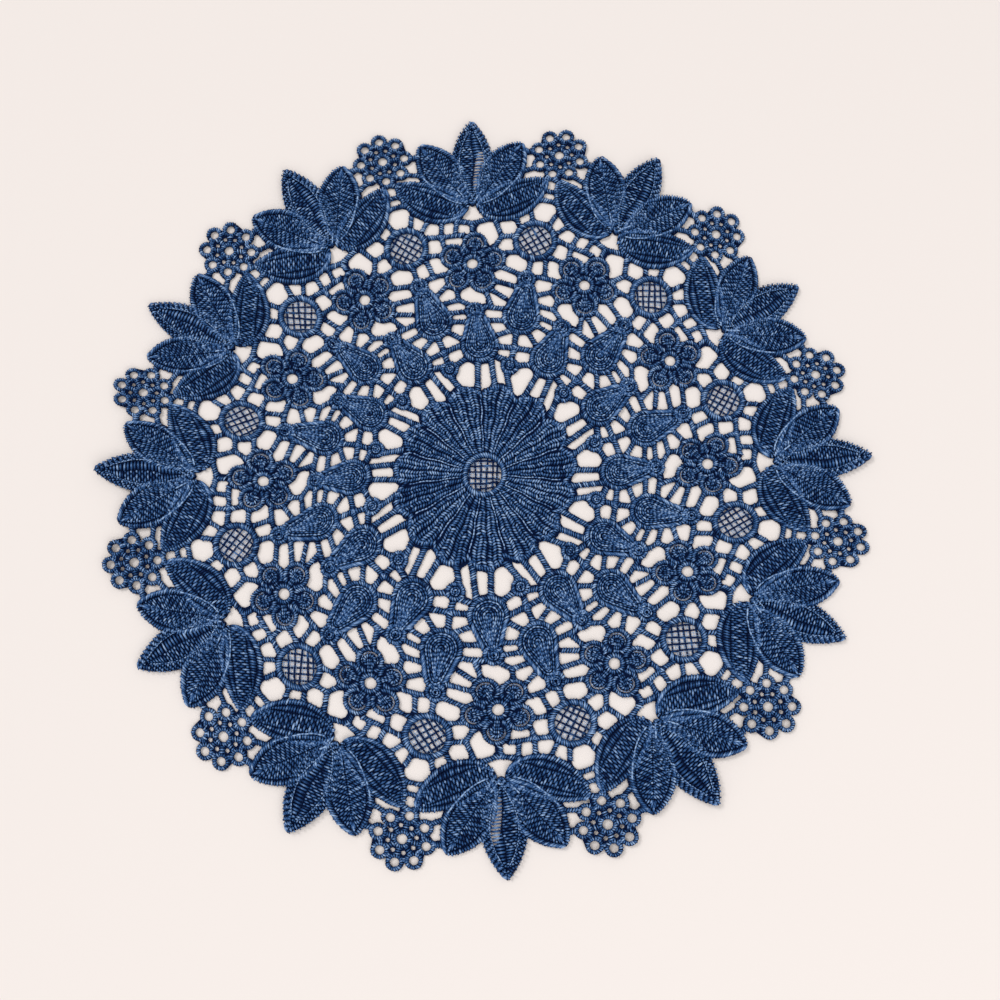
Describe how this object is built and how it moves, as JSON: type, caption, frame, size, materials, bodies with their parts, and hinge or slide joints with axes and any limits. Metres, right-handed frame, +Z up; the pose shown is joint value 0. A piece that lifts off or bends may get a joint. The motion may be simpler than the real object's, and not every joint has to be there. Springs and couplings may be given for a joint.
{
  "type": "lace placemat",
  "caption": "Round navy lace placemat lying flat: a wavy rosette in an openwork field of flowers and drops, with a lotus rim.",
  "frame": {"origin": "middle of the mat's box, on the surface it lies on", "axes": "+Z up out of the surface; +Y towards the far side of the mat as pictured, +X to the right"},
  "size_m": [0.2994, 0.3, 0.0034],
  "materials": {
    "navy_thread": "matte stitched thread"
  },
  "bodies": {
    "root": {"lace_mat": "navy_thread"}
  },
  "joints": []
}
